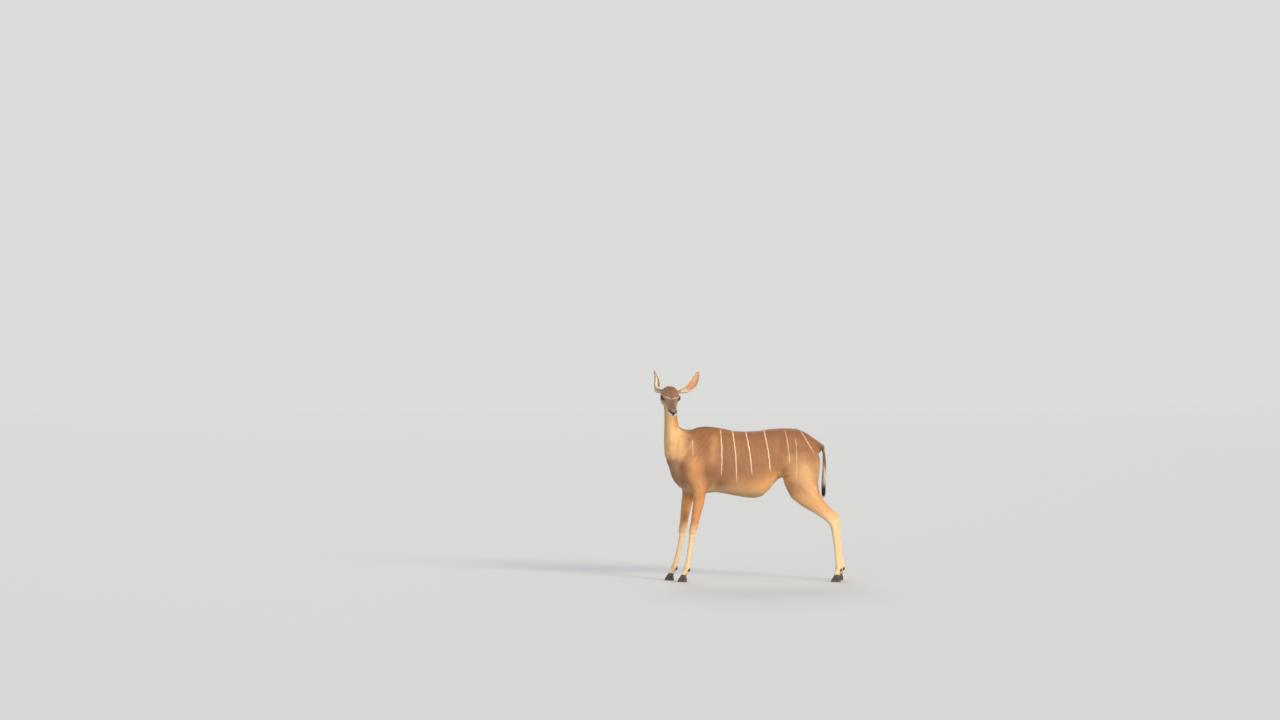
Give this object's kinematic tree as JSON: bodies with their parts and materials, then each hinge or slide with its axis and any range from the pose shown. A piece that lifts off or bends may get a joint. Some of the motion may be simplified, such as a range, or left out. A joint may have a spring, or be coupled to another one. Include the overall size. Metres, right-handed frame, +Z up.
{
  "type": "greater kudu cow",
  "caption": "Hornless greater kudu cow standing in profile with her head turned to the viewer, ears up, thin white stripes on a fawn coat.",
  "frame": {"origin": "centre of the bounding box in X and Y, on the floor under the hooves", "axes": "+Z up; the cow faces -X, with her left side towards -Y and her head turned to look along -Y"},
  "size_m": [1.5164, 0.567, 1.6641],
  "materials": {
    "fawn_coat": "short fawn fur with a soft sheen",
    "face_coat": "very short brown fur",
    "ear_coat": "thin fur over pinkish skin",
    "leg_coat": "very short pale tan fur",
    "tail_coat": "longer brown, white and black hair",
    "hoof_horn": "dark worn horn, satin",
    "eye": "wet and glossy, dark brown"
  },
  "bodies": {
    "root": {"trunk": "fawn_coat", "neck": "fawn_coat", "head": "face_coat", "ear_left": "ear_coat", "ear_right": "ear_coat", "foreleg_left": "leg_coat", "foreleg_right": "leg_coat", "hindleg_left": "leg_coat", "hindleg_right": "leg_coat", "tail": "tail_coat", "hoof_foreleg_left_inner": "hoof_horn", "hoof_foreleg_left_outer": "hoof_horn", "hoof_foreleg_right_inner": "hoof_horn", "hoof_foreleg_right_outer": "hoof_horn", "hoof_hindleg_left_inner": "hoof_horn", "hoof_hindleg_left_outer": "hoof_horn", "hoof_hindleg_right_inner": "hoof_horn", "hoof_hindleg_right_outer": "hoof_horn", "dewclaw_foreleg_left_inner": "hoof_horn", "dewclaw_foreleg_left_outer": "hoof_horn", "dewclaw_foreleg_right_inner": "hoof_horn", "dewclaw_foreleg_right_outer": "hoof_horn", "dewclaw_hindleg_left_inner": "hoof_horn", "dewclaw_hindleg_left_outer": "hoof_horn", "dewclaw_hindleg_right_inner": "hoof_horn", "dewclaw_hindleg_right_outer": "hoof_horn", "eye_left": "eye", "eye_right": "eye"}
  },
  "joints": []
}
